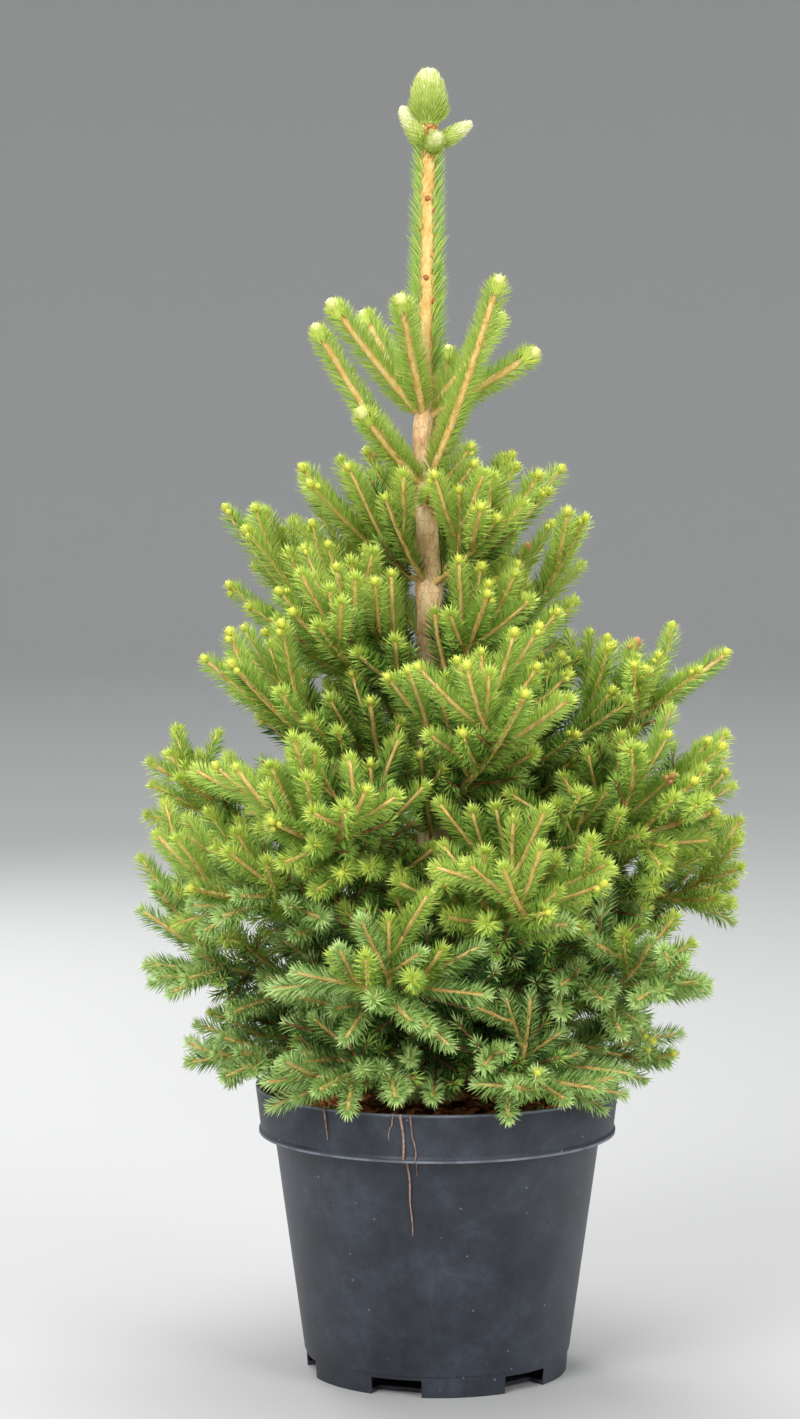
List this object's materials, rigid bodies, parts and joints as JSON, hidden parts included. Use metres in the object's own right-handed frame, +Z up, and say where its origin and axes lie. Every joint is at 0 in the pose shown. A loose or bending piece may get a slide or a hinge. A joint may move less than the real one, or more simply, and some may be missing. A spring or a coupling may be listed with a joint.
{
  "type": "potted norway spruce",
  "caption": "Young upright Norway spruce in a round nursery pot: a tapered trunk with a needled leader, whorls of upswept branches and a full, spreading lower skirt.",
  "frame": {"origin": "centre of the flat underside of the pot, at floor level", "axes": "+Z up along the trunk; -Y is the front that faces the viewer; +X to the viewer's right"},
  "size_m": [0.4165, 0.4165, 0.9105],
  "materials": {
    "nursery_plastic": "dusty blue-black injection-moulded plastic, semi-matt",
    "compost": "damp bark-chip compost, rough",
    "trunk_bark": "thin flaking pinkish-tan bark, matt",
    "bough_bark": "reddish-brown ridged twig bark, matt",
    "needles": "stiff yellow-green needles, slightly waxy",
    "low_needles": "paler, slightly blue-green needles, waxy",
    "new_growth": "soft pale yellow-green new needles"
  },
  "bodies": {
    "root": {"trunk": "trunk_bark", "pot": "nursery_plastic", "potting_soil": "compost", "leader_flush": "new_growth", "foliage_top_1": "needles", "foliage_top_2": "needles", "foliage_top_3": "needles", "foliage_top_4": "needles", "foliage_top_5": "needles", "foliage_upper_1": "needles", "foliage_upper_2": "needles", "foliage_upper_3": "needles", "foliage_upper_4": "needles", "foliage_shoulder_1": "needles", "foliage_shoulder_2": "needles", "foliage_shoulder_3": "needles", "foliage_shoulder_4": "needles", "foliage_shoulder_5": "needles", "foliage_shoulder_6": "needles", "foliage_high_1": "needles", "foliage_high_2": "needles", "foliage_high_3": "needles", "foliage_high_4": "needles", "foliage_high_5": "needles", "foliage_high_6": "needles", "foliage_waist_1": "needles", "foliage_waist_2": "needles", "foliage_waist_3": "needles", "foliage_waist_4": "needles", "foliage_waist_5": "needles", "bough_broad_1": "bough_bark", "foliage_broad_1": "needles", "bough_broad_2": "bough_bark", "foliage_broad_2": "needles", "bough_broad_3": "bough_bark", "foliage_broad_3": "needles", "bough_broad_4": "bough_bark", "foliage_broad_4": "needles", "bough_wide_1": "bough_bark", "foliage_wide_1": "needles", "bough_wide_2": "bough_bark", "foliage_wide_2": "needles", "bough_wide_3": "bough_bark", "foliage_wide_3": "needles", "bough_wide_4": "bough_bark", "foliage_wide_4": "needles", "bough_wide_5": "bough_bark", "foliage_wide_5": "needles", "foliage_low_1": "low_needles", "foliage_low_2": "low_needles", "foliage_low_3": "low_needles", "foliage_low_4": "low_needles", "foliage_low_5": "low_needles", "foliage_skirt_1": "low_needles", "foliage_skirt_2": "low_needles", "foliage_skirt_3": "low_needles", "foliage_skirt_4": "low_needles", "foliage_skirt_5": "low_needles", "foliage_skirt_6": "low_needles", "leader_needles": "needles"}
  },
  "joints": []
}
